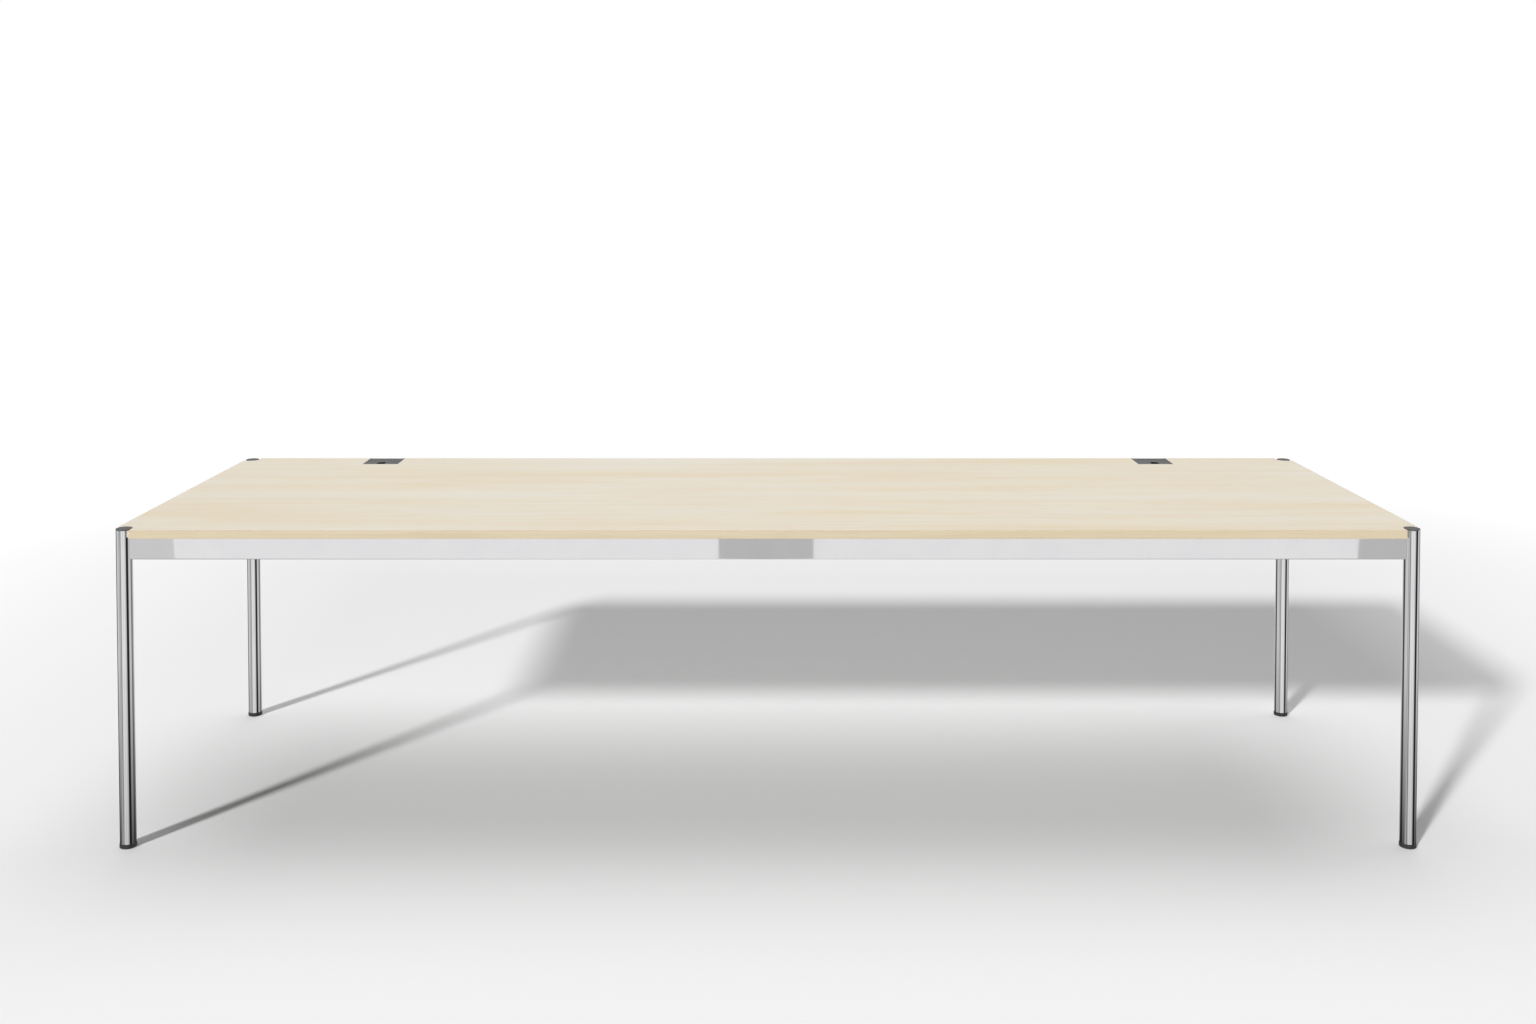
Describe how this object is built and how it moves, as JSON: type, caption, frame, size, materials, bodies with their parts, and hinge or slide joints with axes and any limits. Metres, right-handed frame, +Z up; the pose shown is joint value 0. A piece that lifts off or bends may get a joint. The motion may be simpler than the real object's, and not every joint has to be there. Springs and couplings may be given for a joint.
{
  "type": "conference table",
  "caption": "Long conference table: wood-faced top with notched corners on round chrome tube legs, flat rails under its edge, hinged cable outlet lids at the back and levelling feet.",
  "frame": {"origin": "on the floor under the middle of the table top", "axes": "+X along the length, towards the right end seen from the front; +Y towards the back edge with the cable outlets; +Z up"},
  "size_m": [3, 0.9, 0.7405],
  "materials": {
    "wood_top": "pale maple face, satin",
    "wood_edge": "pale maple edge band, satin",
    "chrome": "polished",
    "zinc_steel": "zinc plated",
    "grey_plastic": "fine moulded grain",
    "black_plastic": "moulded, matte"
  },
  "bodies": {
    "table": {"top_board": "wood_top", "edge_band_front": "wood_edge", "edge_band_left": "wood_edge", "edge_band_right": "wood_edge", "edge_band_back_left": "wood_edge", "edge_band_back_middle": "wood_edge", "edge_band_back_right": "wood_edge", "front_rail": "chrome", "back_rail": "chrome", "left_rail": "chrome", "right_rail": "chrome", "cross_bar_left": "zinc_steel", "cross_bar_right": "zinc_steel", "top_screw_front_1": "zinc_steel", "top_screw_back_1": "zinc_steel", "top_screw_front_2": "zinc_steel", "top_screw_back_2": "zinc_steel", "top_screw_front_3": "zinc_steel", "top_screw_back_3": "zinc_steel", "top_screw_cross_left": "zinc_steel", "top_screw_cross_right": "zinc_steel", "leg_tube_front_left": "chrome", "leg_cap_front_left": "grey_plastic", "leg_insert_front_left": "zinc_steel", "corner_bracket_front_left": "zinc_steel", "corner_bolt_front_left": "zinc_steel", "leg_nut_front_left": "zinc_steel", "leg_tube_front_right": "chrome", "leg_cap_front_right": "grey_plastic", "leg_insert_front_right": "zinc_steel", "corner_bracket_front_right": "zinc_steel", "corner_bolt_front_right": "zinc_steel", "leg_nut_front_right": "zinc_steel", "leg_tube_back_left": "chrome", "leg_cap_back_left": "grey_plastic", "leg_insert_back_left": "zinc_steel", "corner_bracket_back_left": "zinc_steel", "corner_bolt_back_left": "zinc_steel", "leg_nut_back_left": "zinc_steel", "leg_tube_back_right": "chrome", "leg_cap_back_right": "grey_plastic", "leg_insert_back_right": "zinc_steel", "corner_bracket_back_right": "zinc_steel", "corner_bolt_back_right": "zinc_steel", "leg_nut_back_right": "zinc_steel", "outlet_frame_left": "grey_plastic", "outlet_pin_left": "zinc_steel", "outlet_frame_right": "grey_plastic", "outlet_pin_right": "zinc_steel"},
    "lid_left": {"outlet_lid_left": "grey_plastic"},
    "lid_right": {"outlet_lid_right": "grey_plastic"},
    "foot_front_left": {"foot_pad_front_left": "black_plastic", "foot_stud_front_left": "zinc_steel"},
    "foot_front_right": {"foot_pad_front_right": "black_plastic", "foot_stud_front_right": "zinc_steel"},
    "foot_back_left": {"foot_pad_back_left": "black_plastic", "foot_stud_back_left": "zinc_steel"},
    "foot_back_right": {"foot_pad_back_right": "black_plastic", "foot_stud_back_right": "zinc_steel"}
  },
  "joints": [
    {"name": "lid_hinge_left", "type": "hinge", "parent": "table", "child": "lid_left", "pos_m": [-1.096, 0.4457, 0.736], "axis": [-1, 0, 0], "range_deg": [0, 100]},
    {"name": "lid_hinge_right", "type": "hinge", "parent": "table", "child": "lid_right", "pos_m": [1.096, 0.4457, 0.736], "axis": [-1, 0, 0], "range_deg": [0, 100]},
    {"name": "foot_slide_front_left", "type": "slide", "parent": "table", "child": "foot_front_left", "axis": [0, 0, -1], "range_m": [0, 0.01]},
    {"name": "foot_slide_front_right", "type": "slide", "parent": "table", "child": "foot_front_right", "axis": [0, 0, -1], "range_m": [0, 0.01]},
    {"name": "foot_slide_back_left", "type": "slide", "parent": "table", "child": "foot_back_left", "axis": [0, 0, -1], "range_m": [0, 0.01]},
    {"name": "foot_slide_back_right", "type": "slide", "parent": "table", "child": "foot_back_right", "axis": [0, 0, -1], "range_m": [0, 0.01]}
  ]
}
